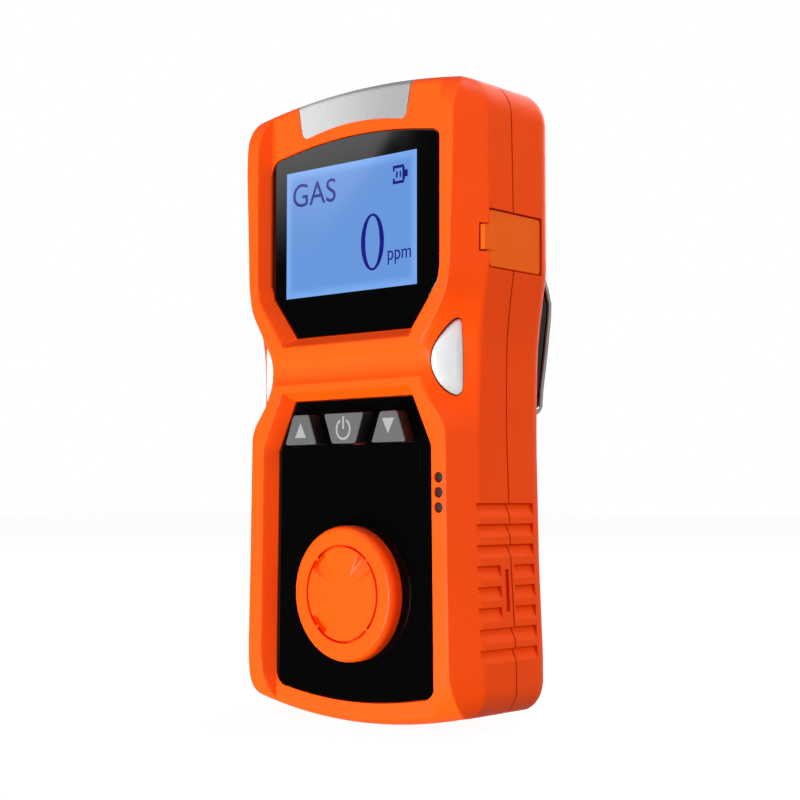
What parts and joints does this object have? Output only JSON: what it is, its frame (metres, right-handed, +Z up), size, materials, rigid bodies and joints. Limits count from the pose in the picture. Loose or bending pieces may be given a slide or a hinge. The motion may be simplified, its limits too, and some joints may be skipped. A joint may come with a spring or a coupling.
{
  "type": "portable gas detector",
  "caption": "Hand-held gas detector: waisted two-part case with a display, keys, round sensor cap, alarm windows, side socket flap and sprung belt clip.",
  "frame": {"origin": "middle of the bounding box in plan, at the lowest point of the case", "axes": "+Z up the case towards the display end, +Y from the display side to the belt clip, +X to the right of someone who faces the display"},
  "size_m": [0.0606, 0.0456, 0.1214],
  "materials": {
    "case_orange": "fine matt moulded surface",
    "cap_orange": "satin moulded surface",
    "flap_orange": "matt soft rubber",
    "window_black": "clear glossy window with a black border behind",
    "panel_black": "glossy black overlay",
    "key_grey": "matt silicone",
    "moulded_black": "plain moulded surface",
    "rubber_black": "matt",
    "light_window": "translucent, frosted",
    "white_plastic": "plain moulded surface",
    "filter_white": "porous membrane",
    "display_blue": "satin polariser",
    "flex_amber": "smooth film",
    "board_green": "solder resist",
    "sensor_can": "satin",
    "battery_wrap": "shrink wrap",
    "steel": "bright plated",
    "label_silver": "printed film"
  },
  "bodies": {
    "case": {"alarm_led_left": "white_plastic", "alarm_led_right": "white_plastic", "alarm_led_top": "white_plastic", "battery": "battery_wrap", "board_plug": "white_plastic", "board_screw_1": "steel", "board_screw_2": "steel", "buzzer": "moulded_black", "buzzer_mesh": "steel", "case_screw_1": "steel", "case_screw_2": "steel", "case_screw_3": "steel", "case_screw_4": "steel", "case_seal": "rubber_black", "charge_port": "steel", "clip_base": "steel", "clip_pin": "steel", "clip_screw_1": "steel", "clip_screw_2": "steel", "display_lens": "window_black", "front_shell": "case_orange", "gas_sensor": "sensor_can", "key_panel": "panel_black", "keypad_mat": "rubber_black", "lcd_backlight": "white_plastic", "lcd_flex": "flex_amber", "lcd_module": "display_blue", "main_board": "board_green", "rating_label": "label_silver", "rear_shell": "case_orange", "sensor_board": "board_green", "sensor_cap": "cap_orange", "sensor_filter": "filter_white", "sensor_seal": "rubber_black", "side_light_window_left": "light_window", "side_light_window_right": "light_window", "switch_down": "moulded_black", "switch_power": "moulded_black", "switch_up": "moulded_black", "top_light_window": "light_window", "vibration_motor": "steel"},
    "key_up": {"key_up": "key_grey"},
    "key_power": {"key_power": "key_grey"},
    "key_down": {"key_down": "key_grey"},
    "flap": {"port_flap": "flap_orange"},
    "clip": {"clip_lever": "steel", "clip_liner": "moulded_black", "clip_spring": "steel"}
  },
  "joints": [
    {"name": "key_up_press", "type": "slide", "parent": "case", "child": "key_up", "axis": [0, 1, 0], "range_m": [0, 0.0006], "stiffness_N_per_m": 400, "springref_m": -0.0006},
    {"name": "key_power_press", "type": "slide", "parent": "case", "child": "key_power", "axis": [0, 1, 0], "range_m": [0, 0.0006], "stiffness_N_per_m": 400, "springref_m": -0.0006},
    {"name": "key_down_press", "type": "slide", "parent": "case", "child": "key_down", "axis": [0, 1, 0], "range_m": [0, 0.0006], "stiffness_N_per_m": 400, "springref_m": -0.0006},
    {"name": "flap_swing", "type": "hinge", "parent": "case", "child": "flap", "pos_m": [0.0303, -0.0004, 0.0893], "axis": [0, 0, 1], "range_deg": [0, 150]},
    {"name": "clip_squeeze", "type": "hinge", "parent": "case", "child": "clip", "pos_m": [0, 0.0141, 0.0779], "axis": [1, 0, 0], "range_deg": [0, 22], "stiffness_Nm_per_rad": 0.5, "springref_deg": -22.92}
  ]
}
